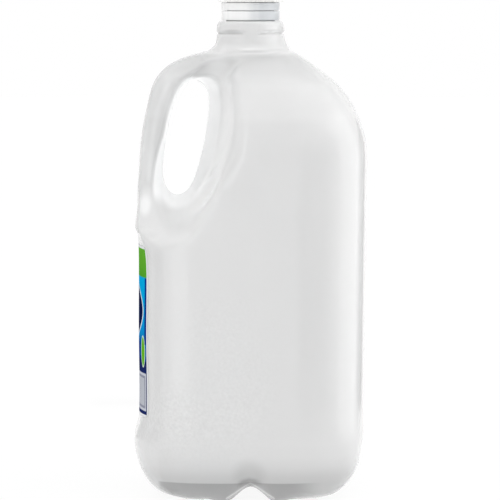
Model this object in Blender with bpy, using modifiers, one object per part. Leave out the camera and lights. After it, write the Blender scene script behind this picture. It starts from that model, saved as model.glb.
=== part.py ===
"""A one-gallon water jug of blow-moulded plastic with a hollow handle, filled to the neck and closed.

Axes: +Z up, +X away from the handle, the label on the -X face, the front face on -Y.
The mould's parting plane, y = 0, is a plane of symmetry. The origin is the centre of the base.
"""

import math

import bmesh
import bpy
from mathutils import Vector

MM = 0.001

# Body
HALF_WIDTH = 70.4 * MM
WAIST_HALF_WIDTH = 68.5 * MM
DEPTH_PER_WIDTH = 1.03
SQUARENESS = 4.0
SIDE_TOP = 204.0 * MM
WALL = 1.0 * MM

# Base: an elliptical corner down to the flat feet, with a notch from front to back
FOOT_HALF_WIDTH = 43.5 * MM
FOOT_LEFT_WIDTH = 46.5 * MM
BASE_CORNER_HEIGHT = 36.5 * MM
BASE_RING_ANGLES = (90.0, 66.0, 44.0, 22.0)
NOTCH_HALF_WIDTH = 12.1 * MM
NOTCH_HEIGHT = 8.2 * MM
NOTCH_RISE = (1.0, 0.85, 0.5, 0.1)
NOTCH_DENT = 2.3 * MM

# Label panel, a shallow recess in the -X face
BULGE_X = -70.4 * MM
BULGE_Z = 37.0 * MM
PANEL_X = -67.3 * MM
PANEL_BOTTOM = 51.1 * MM
PANEL_MIDDLE = 98.4 * MM
PANEL_TOP = 142.4 * MM
PANEL_TOP_LIFTS_MM = (8.0, 8.0, 0.0, 0.0, 1.0, 6.0, 12.0, 15.0, 12.0, 7.0, 4.0, 3.0, 3.0)
PANEL_SHELF_X = -68.5 * MM
PANEL_SHELF_Z = 163.0 * MM

# Shoulder: an arc from the side, then a straight slope to the neck
SHOULDER_RADIUS = 62.3 * MM
SHOULDER_SWEEP = 53.0
NECK_ROOT_RADIUS = 23.2 * MM
NECK_ROOT_Z = 269.7 * MM

# Neck and the finish inside the cap
NECK_RADIUS = 20.4 * MM
NECK_Z = 277.5 * MM
NECK_SHOULDER_RADIUS = 19.9 * MM
NECK_SHOULDER_Z = 283.2 * MM
NECK_TOP_RADIUS = 18.2 * MM
NECK_TOP_Z = 285.9 * MM
FINISH_RADIUS = 14.6 * MM
FINISH_ROOT_Z = 286.4 * MM
MOUTH_Z = 304.5 * MM

# Handle: an oval tube round a slanted hole
HOLE_X = -39.1 * MM
HOLE_Z = 215.1 * MM
HOLE_HALF_LENGTH = 35.1 * MM
HOLE_HALF_WIDTH = 11.1 * MM
HOLE_ROUNDNESS = 2.5
HOLE_LEAN = 11.0
HOLE_POINTS = 12
HOLE_STEP = 360.0 / HOLE_POINTS
HOLE_RINGS = 5
HANDLE_HALF_DEPTH = 14.8 * MM
LIP_OFFSET = 4.4 * MM
LIP_HALF_DEPTH = 11.1 * MM
HANDLE_OUTLINE = (
    (-68.8 * MM, 184.6 * MM),
    (-68.1 * MM, 195.1 * MM),
    (-66.4 * MM, 216.4 * MM),
    (-62.4 * MM, 236.6 * MM),
    (-58.7 * MM, 248.8 * MM),
    (-50.3 * MM, 258.7 * MM),
    (-36.4 * MM, 265.2 * MM),
)
HANDLE_ROOT_SIDE = (-34.8 * MM, -8.9 * MM, 264.7 * MM)
HANDLE_ROOT_ANGLE = 120.0

# Pocket round the handle: the line where the front face begins again, below the hole and beside it
POCKET_FOOT = (
    (-60.7 * MM, 158.7 * MM),
    (-51.0 * MM, 157.6 * MM),
    (-40.4 * MM, 161.3 * MM),
    (-30.3 * MM, 170.3 * MM),
    (-20.8 * MM, 182.0 * MM),
)
POCKET_EDGE = (
    (-10.8 * MM, 184.2 * MM),
    (-12.2 * MM, 197.8 * MM),
    (-9.7 * MM, 206.3 * MM),
    (-8.0 * MM, 215.0 * MM),
    (-6.9 * MM, 225.1 * MM),
    (-6.4 * MM, 237.3 * MM),
    (-6.9 * MM, 248.5 * MM),
)
POCKET_EDGE_INSET = 2.5 * MM
POCKET_WALL_MIX = 0.46
POCKET_TOP = (-8.2 * MM, 256.0 * MM)
PULL_BESIDE_POCKET = (0.6, 0.25)

# Rings of the cage above the panel: height on the +X side, and squareness of the section
UPPER_RINGS_MM = (167.3, 181.0, 194.2, 206.8, 220.5, 236.3, 248.0)
UPPER_SQUARENESS = (4.0, 4.0, 4.0, 4.0, 3.9, 3.6, 3.2)
LOWER_SLOPE_Z = 256.1 * MM
UPPER_SLOPE_Z = 264.1 * MM
SLOPE_SQUARENESS = (2.7, 2.3)

# Columns of the cage, as directions from the -X axis through the front to the +X axis
BASE_ANGLES = (0.0, 28.0, 45.0, 50.5, 57.0, 65.0, 80.7, 90.0, 99.3, 116.0, 135.0, 152.0, 180.0)
BODY_ANGLES = (0.0, 28.0, 45.0, 53.5, 61.0, 70.0, 80.7, 90.0, 99.3, 116.0, 135.0, 152.0, 180.0)
SLOPE_ANGLES = (0.0, 14.0, 26.0, 38.0, 50.0, 63.0, 77.0, 91.0, 106.0, 124.0, 143.0, 162.0, 180.0)
COLUMNS = len(BODY_ANGLES)
TIP, TIP_SIDE, CORNER, HOLE_LEFT, HOLE_MID, HOLE_RIGHT, POCKET, EDGE, PLAIN = range(9)
FAR_CORNER = 10
FIT_ROUNDS = 24
SUBDIVISION_LEVELS = 1
FLAT_FOOT_BELOW = 0.3 * MM

# Water
FILL_Z = 266.1 * MM
GAP = 0.35 * MM

# Label
LABEL_WIDTH = 103.6 * MM
LABEL_BOTTOM = 50.4 * MM
LABEL_TOP = 152.7 * MM
LABEL_CORNER = 5.0 * MM
LABEL_THICKNESS = 0.3 * MM

# Closure
BAND_RADIUS = 17.6 * MM
BAND_BORE = 15.0 * MM
BAND_BEVEL = 0.5 * MM
COLLAR_BOTTOM = 286.4 * MM
COLLAR_TOP = 292.0 * MM
TAMPER_BOTTOM = 292.4 * MM
TAMPER_TOP = 297.2 * MM
CAP_BOTTOM = 297.6 * MM
CAP_FLANGE_RADIUS = 19.8 * MM
CAP_FLANGE_THICKNESS = 0.8 * MM
CAP_RADIUS = 16.1 * MM
CAP_BORE = 15.0 * MM
CAP_TOP = 311.0 * MM
CAP_LID_THICKNESS = 1.6 * MM
CAP_BEVEL = 0.8 * MM
CAP_DOME = 0.6 * MM
ROUND_STEPS = 28
MERGE_DISTANCE = 0.00001

COLLECTION_NAME = "water_jug"


def clear_scene():
    for obj in list(bpy.data.objects):
        bpy.data.objects.remove(obj)


def new_collection(name):
    collection = bpy.data.collections.new(name)
    bpy.context.scene.collection.children.link(collection)
    return collection


def plastic(name, colour, roughness, transmission):
    material = bpy.data.materials.new(name)
    material.use_nodes = True
    shader = material.node_tree.nodes["Principled BSDF"]
    shader.inputs["Base Color"].default_value = (*colour, 1.0)
    shader.inputs["Roughness"].default_value = roughness
    shader.inputs["Metallic"].default_value = 0.0
    shader.inputs["Transmission Weight"].default_value = transmission
    return material


def add_object(name, mesh, collection, material):
    obj = bpy.data.objects.new(name, mesh)
    mesh.materials.append(material)
    collection.objects.link(obj)
    return obj


def shade_round(mesh, angle):
    mesh.shade_smooth()
    mesh.set_sharp_from_angle(angle=math.radians(angle))


def section_point(half_width, squareness, angle, z):
    """A point of the body's rounded-square section, in a direction measured from the -X axis."""
    turn = math.radians(angle)
    along, across = -math.cos(turn), -math.sin(turn)
    half_depth = half_width * DEPTH_PER_WIDTH if squareness > 2.0 else half_width
    size = (abs(along) / half_width) ** squareness + (abs(across) / half_depth) ** squareness
    reach = size ** (-1.0 / squareness)
    return Vector((along * reach, across * reach, z))


def face_point(x, z, squareness, inset=0.0):
    """The point of the body's front face at a given x and height, set in by a distance."""
    half_width = shoulder_half_width(z)
    share = (1.0 - min(1.0, abs(x) / half_width) ** squareness) ** (1.0 / squareness)
    return Vector((x, inset - half_width * DEPTH_PER_WIDTH * share, z))


def body_ring(z, squareness, angles):
    """The front half of the body's section at a height, one point in each direction."""
    half_width = shoulder_half_width(z)
    return [section_point(half_width, squareness, angle, z) for angle in angles]


def shoulder_half_width(z):
    """The body's half width on the +X side above the base corner."""
    if z <= SIDE_TOP:
        share = (z - BASE_CORNER_HEIGHT) / (SIDE_TOP - BASE_CORNER_HEIGHT)
        return WAIST_HALF_WIDTH + (HALF_WIDTH - WAIST_HALF_WIDTH) * share
    sweep = math.radians(SHOULDER_SWEEP)
    arc_end_x = HALF_WIDTH - SHOULDER_RADIUS * (1.0 - math.cos(sweep))
    arc_end_z = SIDE_TOP + SHOULDER_RADIUS * math.sin(sweep)
    if z <= arc_end_z:
        turn = math.asin((z - SIDE_TOP) / SHOULDER_RADIUS)
        return HALF_WIDTH - SHOULDER_RADIUS * (1.0 - math.cos(turn))
    share = (z - arc_end_z) / (NECK_ROOT_Z - arc_end_z)
    return arc_end_x + (NECK_ROOT_RADIUS - arc_end_x) * share


def hole_point(angle, offset=0.0, depth=0.0):
    """A point of the hole's outline, or outside it: angle 0 is on the body's side, 90 on top."""
    turn = math.radians(angle)
    power = 2.0 / HOLE_ROUNDNESS
    right = math.copysign(abs(math.cos(turn)) ** power, math.cos(turn)) * HOLE_HALF_WIDTH
    up = math.copysign(abs(math.sin(turn)) ** power, math.sin(turn)) * HOLE_HALF_LENGTH
    slope = HOLE_ROUNDNESS - 1.0
    outward = Vector((
        math.copysign(abs(right / HOLE_HALF_WIDTH) ** slope, right) / HOLE_HALF_WIDTH,
        math.copysign(abs(up / HOLE_HALF_LENGTH) ** slope, up) / HOLE_HALF_LENGTH,
    )).normalized()
    right += outward.x * offset
    up += outward.y * offset
    lean = math.radians(HOLE_LEAN)
    x = HOLE_X + right * math.cos(lean) + up * math.sin(lean)
    z = HOLE_Z - right * math.sin(lean) + up * math.cos(lean)
    return Vector((x, -depth, z))


def tube_points(outer, inner):
    """The handle's front half: its outer line, its outer quarter, its front and its inner quarter."""
    points = []
    for turn in (0.0, 45.0, 90.0, 135.0):
        share = (1.0 - math.cos(math.radians(turn))) / 2.0
        depth = HANDLE_HALF_DEPTH * math.sin(math.radians(turn))
        point = outer.lerp(inner, share)
        points.append(Vector((point.x, -depth, point.z)))
    return points


def lower_rings():
    """Rings of the base corner and of the sides up to the top of the label panel."""
    rings = []
    for index, angle in enumerate(BASE_RING_ANGLES):
        turn = math.radians(angle)
        half_width = FOOT_HALF_WIDTH + (WAIST_HALF_WIDTH - FOOT_HALF_WIDTH) * math.cos(turn)
        left_width = FOOT_LEFT_WIDTH + (-BULGE_X - FOOT_LEFT_WIDTH) * math.cos(turn)
        z = BASE_CORNER_HEIGHT * (1.0 - math.sin(turn))
        ring = [section_point(half_width, SQUARENESS, angle, z) for angle in BASE_ANGLES]
        for point in ring[TIP:EDGE]:
            point.x *= left_width / half_width
        ring[EDGE].z += NOTCH_HEIGHT * NOTCH_RISE[index]
        if index:
            ring[EDGE].y += NOTCH_DENT * NOTCH_RISE[index]
        for side in (POCKET, PLAIN):
            ring[side].x = math.copysign(NOTCH_HALF_WIDTH, ring[side].x)
        rings.append(ring)
    panel = [(z, PANEL_X) for z in (PANEL_BOTTOM, PANEL_MIDDLE, PANEL_TOP)]
    for z, left in [(BULGE_Z, BULGE_X), *panel]:
        ring = body_ring(z, SQUARENESS, BODY_ANGLES)
        for column in (CORNER, TIP_SIDE, TIP):
            ring[column].x *= left / ring[TIP].x
        rings.append(ring)
    for column, lift in enumerate(PANEL_TOP_LIFTS_MM):
        rings[-1][column].z += lift * MM
    return rings


def upper_rings():
    """Rings from the foot of the pocket to the top of the handle's hole."""
    rings = []
    for height, squareness, (edge_x, edge_z) in zip(UPPER_RINGS_MM, UPPER_SQUARENESS, POCKET_EDGE):
        z = height * MM
        ring = body_ring(z, squareness, BODY_ANGLES)
        ring[EDGE] = face_point(edge_x, edge_z, squareness, POCKET_EDGE_INSET)
        for column, pull in zip((PLAIN, PLAIN + 1), PULL_BESIDE_POCKET):
            ring[column] = face_point(ring[column].x, z + pull * (edge_z - z), squareness)
        rings.append(ring)
    foot, ramp, *beside_hole = rings
    foot[TIP] = Vector((PANEL_SHELF_X, 0.0, PANEL_SHELF_Z))
    foot[TIP_SIDE].z = PANEL_SHELF_Z
    for column, (x, z) in enumerate(POCKET_FOOT, CORNER):
        foot[column] = face_point(x, z, SQUARENESS, POCKET_EDGE_INSET)
    for index, ring in enumerate(beside_hole):
        height = (index - HOLE_RINGS // 2) * HOLE_STEP
        outer_x, outer_z = HANDLE_OUTLINE[index]
        tube = tube_points(Vector((outer_x, 0.0, outer_z)), hole_point(180.0 - height))
        ring[TIP : HOLE_LEFT + 1] = tube
        ring[HOLE_MID] = hole_point(math.copysign(90.0, height or 1.0), LIP_OFFSET, LIP_HALF_DEPTH)
        ring[HOLE_RIGHT] = hole_point(height, LIP_OFFSET, LIP_HALF_DEPTH)
        ring[POCKET] = ring[HOLE_RIGHT].lerp(ring[EDGE], POCKET_WALL_MIX)
    for column in range(EDGE):
        ramp[column] = (foot[column] + beside_hole[0][column]) / 2.0
    return rings


def slope_rings(top_of_hole):
    """The two rings of the slope between the top of the hole and the neck."""
    lower_squareness, upper_squareness = SLOPE_SQUARENESS
    upper = body_ring(UPPER_SLOPE_Z, upper_squareness, SLOPE_ANGLES)
    *_, (outer_x, outer_z), (root_x, root_z) = HANDLE_OUTLINE
    upper[TIP] = Vector((root_x, 0.0, root_z))
    side_x, side_y, side_z = HANDLE_ROOT_SIDE
    upper[TIP_SIDE] = Vector((side_x, side_y, side_z))
    lower = body_ring(LOWER_SLOPE_Z, lower_squareness, BODY_ANGLES)
    for column in range(CORNER, EDGE):
        lower[column] = (top_of_hole[column] + upper[column]) / 2.0
    lower[EDGE] = face_point(*POCKET_TOP, lower_squareness)
    tube = tube_points(Vector((outer_x, 0.0, outer_z)), hole_point(HANDLE_ROOT_ANGLE))
    lower[TIP : CORNER + 1] = tube[: CORNER + 1]
    return [lower, upper]


def neck_rings():
    """Round rings of the neck, and of the finish that the cap grips."""
    profile = (
        (NECK_ROOT_RADIUS, NECK_ROOT_Z),
        (NECK_RADIUS, NECK_Z),
        (NECK_SHOULDER_RADIUS, NECK_SHOULDER_Z),
        (NECK_TOP_RADIUS, NECK_TOP_Z),
        (FINISH_RADIUS, FINISH_ROOT_Z),
        (FINISH_RADIUS, MOUTH_Z),
    )
    even = [180.0 * column / (COLUMNS - 1) for column in range(COLUMNS)]
    return [[section_point(radius, 2.0, angle, z) for angle in even] for radius, z in profile]


def mirrored(point):
    return Vector((point.x, -point.y, point.z))


def closed_ring(bm, front):
    """Cage vertices of a whole ring: the front half, then its mirror image from +X back to -X."""
    back = [mirrored(point) for point in reversed(front[1:-1])]
    return [bm.verts.new(point) for point in front + back]


def notch_height(x):
    return NOTCH_HEIGHT * max(0.0, 1.0 - abs(x) / NOTCH_HALF_WIDTH)


def close_base(bm, ring):
    """Fills the lowest ring with a grid of quads that carries the notch."""
    count = len(ring)
    wide = FAR_CORNER - CORNER
    deep = 2 * CORNER
    front = [ring[CORNER + i] for i in range(wide + 1)]
    back = [ring[count - CORNER - i] for i in range(wide + 1)]
    left = [ring[(CORNER - i) % count] for i in range(deep + 1)]
    right = [ring[FAR_CORNER + i] for i in range(deep + 1)]
    rows = [front]
    for j in range(1, deep):
        v = j / deep
        row = [left[j]]
        for i in range(1, wide):
            u = i / wide
            along = left[j].co.lerp(right[j].co, u)
            across = front[i].co.lerp(back[i].co, v)
            point = Vector((across.x, across.y * 0.5 + along.y * 0.5, 0.0))
            point.z = notch_height(point.x)
            row.append(bm.verts.new(point))
        rows.append(row + [right[j]])
    rows.append(back)
    for low, high in zip(rows, rows[1:]):
        for i in range(wide):
            bm.faces.new((low[i + 1], low[i], high[i], high[i + 1]))


def lip_loop(rings, left, middle, right):
    """The vertices round one side of the hole, from its top down the handle and up the body."""
    lip = [rings[-1][middle]]
    lip += [ring[left] for ring in reversed(rings)]
    lip += [rings[0][middle]]
    return lip + [ring[right] for ring in rings]


def line_hole(bm, rings):
    """Joins the hole's front and back lips through a middle loop in the parting plane."""
    count = len(rings[0])
    front = lip_loop(rings, HOLE_LEFT, HOLE_MID, HOLE_RIGHT)
    back = lip_loop(rings, count - HOLE_LEFT, count - HOLE_MID, count - HOLE_RIGHT)
    middle = [bm.verts.new(hole_point(90.0 + HOLE_STEP * i)) for i in range(HOLE_POINTS)]
    for i in range(HOLE_POINTS):
        after = (i + 1) % HOLE_POINTS
        bm.faces.new((front[i], front[after], middle[after], middle[i]))
        bm.faces.new((middle[i], middle[after], back[after], back[i]))


def limit_point(vert):
    """Where a quad cage's vertex ends up on the smooth surface that subdivision makes of it."""
    if vert.is_boundary:
        ends = [edge.other_vert(vert).co for edge in vert.link_edges if edge.is_boundary]
        return (4.0 * vert.co + ends[0] + ends[1]) / 6.0
    near = [edge.other_vert(vert) for edge in vert.link_edges]
    count = len(near)
    total = count * count * vert.co
    for other in near:
        total = total + 4.0 * other.co
    for face in vert.link_faces:
        for other in face.verts:
            if other is not vert and other not in near:
                total = total + other.co
    return total / (count * (count + 5))


def fit_cage(bm):
    """Moves the cage out until the smooth surface passes through the points it was drawn with."""
    targets = {vert: vert.co.copy() for vert in bm.verts}
    for _ in range(FIT_ROUNDS):
        moves = {vert: target - limit_point(vert) for vert, target in targets.items()}
        for vert, move in moves.items():
            vert.co += move


def jug_cage():
    """The coarse cage of the jug's outer surface, open at the mouth."""
    bm = bmesh.new()
    fronts = lower_rings() + upper_rings()
    hole_top = len(fronts) - 1
    hole_bottom = len(fronts) - HOLE_RINGS
    fronts += slope_rings(fronts[hole_top]) + neck_rings()
    rings = [closed_ring(bm, front) for front in fronts]
    line_hole(bm, rings[hole_bottom : hole_top + 1])
    count = len(rings[0])
    open_columns = {HOLE_LEFT, HOLE_MID, count - HOLE_RIGHT, count - HOLE_MID}
    for index, (low, high) in enumerate(zip(rings, rings[1:])):
        for column in range(count):
            if hole_bottom <= index < hole_top and column in open_columns:
                continue
            after = (column + 1) % count
            bm.faces.new((low[column], low[after], high[after], high[column]))
    close_base(bm, rings[0])
    unused = [vert for vert in bm.verts if not vert.link_faces]
    bmesh.ops.delete(bm, geom=unused, context="VERTS")
    bmesh.ops.recalc_face_normals(bm, faces=bm.faces)
    fit_cage(bm)
    mesh = bpy.data.meshes.new("jug_cage")
    bm.to_mesh(mesh)
    bm.free()
    return mesh


def smooth_surface(cage_mesh, guides):
    """The cage's subdivided surface as a mesh of triangles, with its feet flat on the ground."""
    cage = bpy.data.objects.new("jug_cage", cage_mesh)
    cage.hide_render = True
    cage.display_type = "WIRE"
    guides.objects.link(cage)
    smooth = cage.modifiers.new("smooth", "SUBSURF")
    smooth.levels = smooth.render_levels = SUBDIVISION_LEVELS
    bpy.context.view_layer.update()
    graph = bpy.context.evaluated_depsgraph_get()
    mesh = bpy.data.meshes.new_from_object(cage.evaluated_get(graph))
    bm = bmesh.new()
    bm.from_mesh(mesh)
    for vert in bm.verts:
        if vert.co.z < FLAT_FOOT_BELOW:
            vert.co.z = 0.0
    bmesh.ops.triangulate(bm, faces=bm.faces)
    bm.to_mesh(mesh)
    bm.free()
    return mesh


def make_jug(surface, collection):
    material = plastic("natural_polyethylene", colour=(0.86, 0.88, 0.88), roughness=0.3, transmission=0.6)
    surface.name = "jug"
    jug = add_object("jug", surface, collection, material)
    shade_round(surface, 60.0)
    shell = jug.modifiers.new("wall", "SOLIDIFY")
    shell.thickness = WALL
    shell.offset = -1.0
    shell.use_even_offset = True
    return jug


def make_water(surface, collection):
    """The water up to the foot of the neck, clear of the wall by the gap."""
    material = plastic("water", colour=(0.9, 0.95, 0.97), roughness=0.02, transmission=1.0)
    bm = bmesh.new()
    bm.from_mesh(surface)
    bm.normal_update()
    moves = {vert: vert.normal * (WALL + GAP) * vert.calc_shell_factor() for vert in bm.verts}
    for vert, move in moves.items():
        vert.co -= move
    geometry = bm.verts[:] + bm.edges[:] + bm.faces[:]
    level = (0.0, 0.0, FILL_Z)
    up = (0.0, 0.0, 1.0)
    bmesh.ops.bisect_plane(bm, geom=geometry, plane_co=level, plane_no=up, clear_outer=True)
    rim = [edge for edge in bm.edges if edge.is_boundary]
    bmesh.ops.contextual_create(bm, geom=rim)
    bmesh.ops.recalc_face_normals(bm, faces=bm.faces)
    mesh = bpy.data.meshes.new("water")
    bm.to_mesh(mesh)
    bm.free()
    shade_round(mesh, 60.0)
    return add_object("water", mesh, collection, material)


def make_label(surface, collection):
    """A thin film with cut corners, parallel to the panel of the -X face and clear of it by the gap."""
    material = plastic("label_film", colour=(0.18, 0.42, 0.72), roughness=0.35, transmission=0.0)
    side = LABEL_WIDTH / 2.0
    cuts = [
        ((BULGE_X / 2.0, 0.0, 0.0), (1.0, 0.0, 0.0)),
        ((0.0, 0.0, LABEL_BOTTOM), (0.0, 0.0, -1.0)),
        ((0.0, 0.0, LABEL_TOP), (0.0, 0.0, 1.0)),
    ]
    for sign in (-1.0, 1.0):
        cuts.append(((0.0, sign * side, 0.0), (0.0, sign, 0.0)))
        cuts.append(((0.0, sign * (side - LABEL_CORNER), LABEL_BOTTOM), (0.0, sign, -1.0)))
        cuts.append(((0.0, sign * (side - LABEL_CORNER), LABEL_TOP), (0.0, sign, 1.0)))
    bm = bmesh.new()
    bm.from_mesh(surface)
    for place, outward in cuts:
        geometry = bm.verts[:] + bm.edges[:] + bm.faces[:]
        bmesh.ops.bisect_plane(bm, geom=geometry, plane_co=place, plane_no=outward, clear_outer=True)
    bm.normal_update()
    moves = {vert: vert.normal * GAP * vert.calc_shell_factor() for vert in bm.verts}
    for vert, move in moves.items():
        vert.co += move
    mesh = bpy.data.meshes.new("label")
    bm.to_mesh(mesh)
    bm.free()
    label = add_object("label", mesh, collection, material)
    film = label.modifiers.new("film", "SOLIDIFY")
    film.thickness = LABEL_THICKNESS
    film.offset = 1.0
    return label


def turned(name, profile, collection, material, closed=True):
    """A turned piece from the (radius, height) points of its section, outer side from top to bottom."""
    bm = bmesh.new()
    verts = [bm.verts.new((radius, 0.0, z)) for radius, z in profile]
    ends = verts[1:] + verts[:1] if closed else verts[1:]
    for start, end in zip(verts, ends):
        bm.edges.new((start, end))
    mesh = bpy.data.meshes.new(name)
    bm.to_mesh(mesh)
    bm.free()
    obj = add_object(name, mesh, collection, material)
    screw = obj.modifiers.new("turn", "SCREW")
    screw.steps = screw.render_steps = ROUND_STEPS
    screw.use_merge_vertices = True
    screw.merge_threshold = MERGE_DISTANCE
    screw.use_smooth_shade = True
    return obj


def make_bands(collection):
    """The neck's collar band, and the tamper band above it."""
    for name, bottom, top in (
        ("collar_band", COLLAR_BOTTOM, COLLAR_TOP),
        ("tamper_band", TAMPER_BOTTOM, TAMPER_TOP),
    ):
        material = plastic(name, colour=(0.88, 0.88, 0.86), roughness=0.35, transmission=0.3)
        profile = (
            (BAND_BORE, top),
            (BAND_RADIUS - BAND_BEVEL, top),
            (BAND_RADIUS, top - BAND_BEVEL),
            (BAND_RADIUS, bottom + BAND_BEVEL),
            (BAND_RADIUS - BAND_BEVEL, bottom),
            (BAND_BORE, bottom),
        )
        turned(name, profile, collection, material)


def make_cap(collection):
    """The cap: a drum with a slightly domed lid, and a thin flange round its foot."""
    material = plastic("cap_plastic", colour=(0.8, 0.79, 0.76), roughness=0.4, transmission=0.1)
    lid_under = CAP_TOP - CAP_DOME - CAP_LID_THICKNESS
    flange_top = CAP_BOTTOM + CAP_FLANGE_THICKNESS
    profile = (
        (0.0, CAP_TOP),
        (CAP_RADIUS - 2.0 * CAP_BEVEL, CAP_TOP - CAP_DOME),
        (CAP_RADIUS, CAP_TOP - CAP_DOME - CAP_BEVEL),
        (CAP_RADIUS, flange_top),
        (CAP_FLANGE_RADIUS, flange_top),
        (CAP_FLANGE_RADIUS, CAP_BOTTOM),
        (CAP_BORE, CAP_BOTTOM),
        (CAP_BORE, lid_under),
        (0.0, lid_under),
    )
    turned("cap", profile, collection, material, closed=False)


def main():
    clear_scene()
    collection = new_collection(COLLECTION_NAME)
    guides = new_collection("guides")
    surface = smooth_surface(jug_cage(), guides)
    make_water(surface, collection)
    make_label(surface, collection)
    make_jug(surface, collection)
    make_bands(collection)
    make_cap(collection)


main()
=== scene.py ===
"""Looks of a one-gallon water jug of natural polyethylene, filled to the foot of the neck.

The jug's cage is the one that the CAD part is made from, subdivided further, so the surface
stays where the solid's is. +Z up, the handle and the label towards -X, the front face towards
-Y. Lengths are in metres.
"""

import math

import bmesh
import bpy
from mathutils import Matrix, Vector


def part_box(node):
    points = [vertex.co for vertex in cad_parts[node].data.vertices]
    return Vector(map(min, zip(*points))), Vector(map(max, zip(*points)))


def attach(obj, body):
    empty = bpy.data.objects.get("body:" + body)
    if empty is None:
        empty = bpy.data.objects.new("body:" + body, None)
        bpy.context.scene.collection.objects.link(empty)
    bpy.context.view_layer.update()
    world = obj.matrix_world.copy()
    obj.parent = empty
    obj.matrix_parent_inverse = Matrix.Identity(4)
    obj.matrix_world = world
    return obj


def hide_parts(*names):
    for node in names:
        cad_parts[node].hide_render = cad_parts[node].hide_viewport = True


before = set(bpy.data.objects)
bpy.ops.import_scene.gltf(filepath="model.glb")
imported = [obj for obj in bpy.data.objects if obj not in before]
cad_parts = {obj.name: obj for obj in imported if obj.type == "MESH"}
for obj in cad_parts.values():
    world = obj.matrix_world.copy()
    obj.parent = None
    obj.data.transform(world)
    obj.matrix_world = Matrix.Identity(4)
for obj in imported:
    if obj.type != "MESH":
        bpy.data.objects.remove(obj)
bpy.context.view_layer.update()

MM = 0.001


def mm(*lengths):
    """Lengths given in millimetres."""
    return tuple(length * MM for length in lengths)


# Body
HALF_WIDTH = 70.4 * MM
WAIST_HALF_WIDTH = 68.5 * MM
DEPTH_PER_WIDTH = 1.03
SQUARENESS = 4.0
SIDE_TOP = 204.0 * MM
WALL = 1.0 * MM

# Base: an elliptical corner down to the flat feet, with a notch from front to back
FOOT_HALF_WIDTH = 43.5 * MM
FOOT_LEFT_WIDTH = 46.5 * MM
BASE_CORNER_HEIGHT = 36.5 * MM
BASE_RING_ANGLES = (90.0, 66.0, 44.0, 22.0)
NOTCH_HALF_WIDTH = 12.1 * MM
NOTCH_HEIGHT = 8.2 * MM
NOTCH_RISE = (1.0, 0.85, 0.5, 0.1)
NOTCH_DENT = 2.3 * MM

# Label panel, a shallow recess in the -X face
BULGE_X = -70.4 * MM
BULGE_Z = 37.0 * MM
PANEL_X = -67.3 * MM
PANEL_BOTTOM = 51.1 * MM
PANEL_MIDDLE = 98.4 * MM
PANEL_TOP = 142.4 * MM
PANEL_TOP_LIFTS_MM = (8.0, 8.0, 0.0, 0.0, 1.0, 6.0, 12.0, 15.0, 12.0, 7.0, 4.0, 3.0, 3.0)
PANEL_SHELF_X = -68.5 * MM
PANEL_SHELF_Z = 163.0 * MM

# Shoulder: an arc from the side, then a straight slope to the neck
SHOULDER_RADIUS = 62.3 * MM
SHOULDER_SWEEP = 53.0
NECK_ROOT_RADIUS = 23.2 * MM
NECK_ROOT_Z = 269.7 * MM

# Neck and the finish inside the cap
NECK_RADIUS = 20.4 * MM
NECK_Z = 277.5 * MM
NECK_SHOULDER_RADIUS = 19.9 * MM
NECK_SHOULDER_Z = 283.2 * MM
NECK_TOP_RADIUS = 18.2 * MM
NECK_TOP_Z = 285.9 * MM
FINISH_RADIUS = 14.6 * MM
FINISH_ROOT_Z = 286.4 * MM
MOUTH_Z = 304.5 * MM

# Handle: an oval tube round a slanted hole
HOLE_X = -39.1 * MM
HOLE_Z = 215.1 * MM
HOLE_HALF_LENGTH = 35.1 * MM
HOLE_HALF_WIDTH = 11.1 * MM
HOLE_ROUNDNESS = 2.5
HOLE_LEAN = 11.0
HOLE_POINTS = 12
HOLE_STEP = 360.0 / HOLE_POINTS
HOLE_RINGS = 5
HANDLE_HALF_DEPTH = 14.8 * MM
LIP_OFFSET = 4.4 * MM
LIP_HALF_DEPTH = 11.1 * MM
HANDLE_OUTLINE = (
    mm(-68.8, 184.6),
    mm(-68.1, 195.1),
    mm(-66.4, 216.4),
    mm(-62.4, 236.6),
    mm(-58.7, 248.8),
    mm(-50.3, 258.7),
    mm(-36.4, 265.2),
)
HANDLE_ROOT_SIDE = mm(-34.8, -8.9, 264.7)
HANDLE_ROOT_ANGLE = 120.0

# Pocket round the handle: the line where the front face begins again, below the hole and beside it
POCKET_FOOT = (
    mm(-60.7, 158.7),
    mm(-51.0, 157.6),
    mm(-40.4, 161.3),
    mm(-30.3, 170.3),
    mm(-20.8, 182.0),
)
POCKET_EDGE = (
    mm(-10.8, 184.2),
    mm(-12.2, 197.8),
    mm(-9.7, 206.3),
    mm(-8.0, 215.0),
    mm(-6.9, 225.1),
    mm(-6.4, 237.3),
    mm(-6.9, 248.5),
)
POCKET_EDGE_INSET = 2.5 * MM
POCKET_WALL_MIX = 0.46
POCKET_TOP = mm(-8.2, 256.0)
PULL_BESIDE_POCKET = (0.6, 0.25)

# Rings of the cage above the panel: height on the +X side, and squareness of the section
UPPER_RINGS_MM = (167.3, 181.0, 194.2, 206.8, 220.5, 236.3, 248.0)
UPPER_SQUARENESS = (4.0, 4.0, 4.0, 4.0, 3.9, 3.6, 3.2)
LOWER_SLOPE_Z = 256.1 * MM
UPPER_SLOPE_Z = 264.1 * MM
SLOPE_SQUARENESS = (2.7, 2.3)

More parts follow.
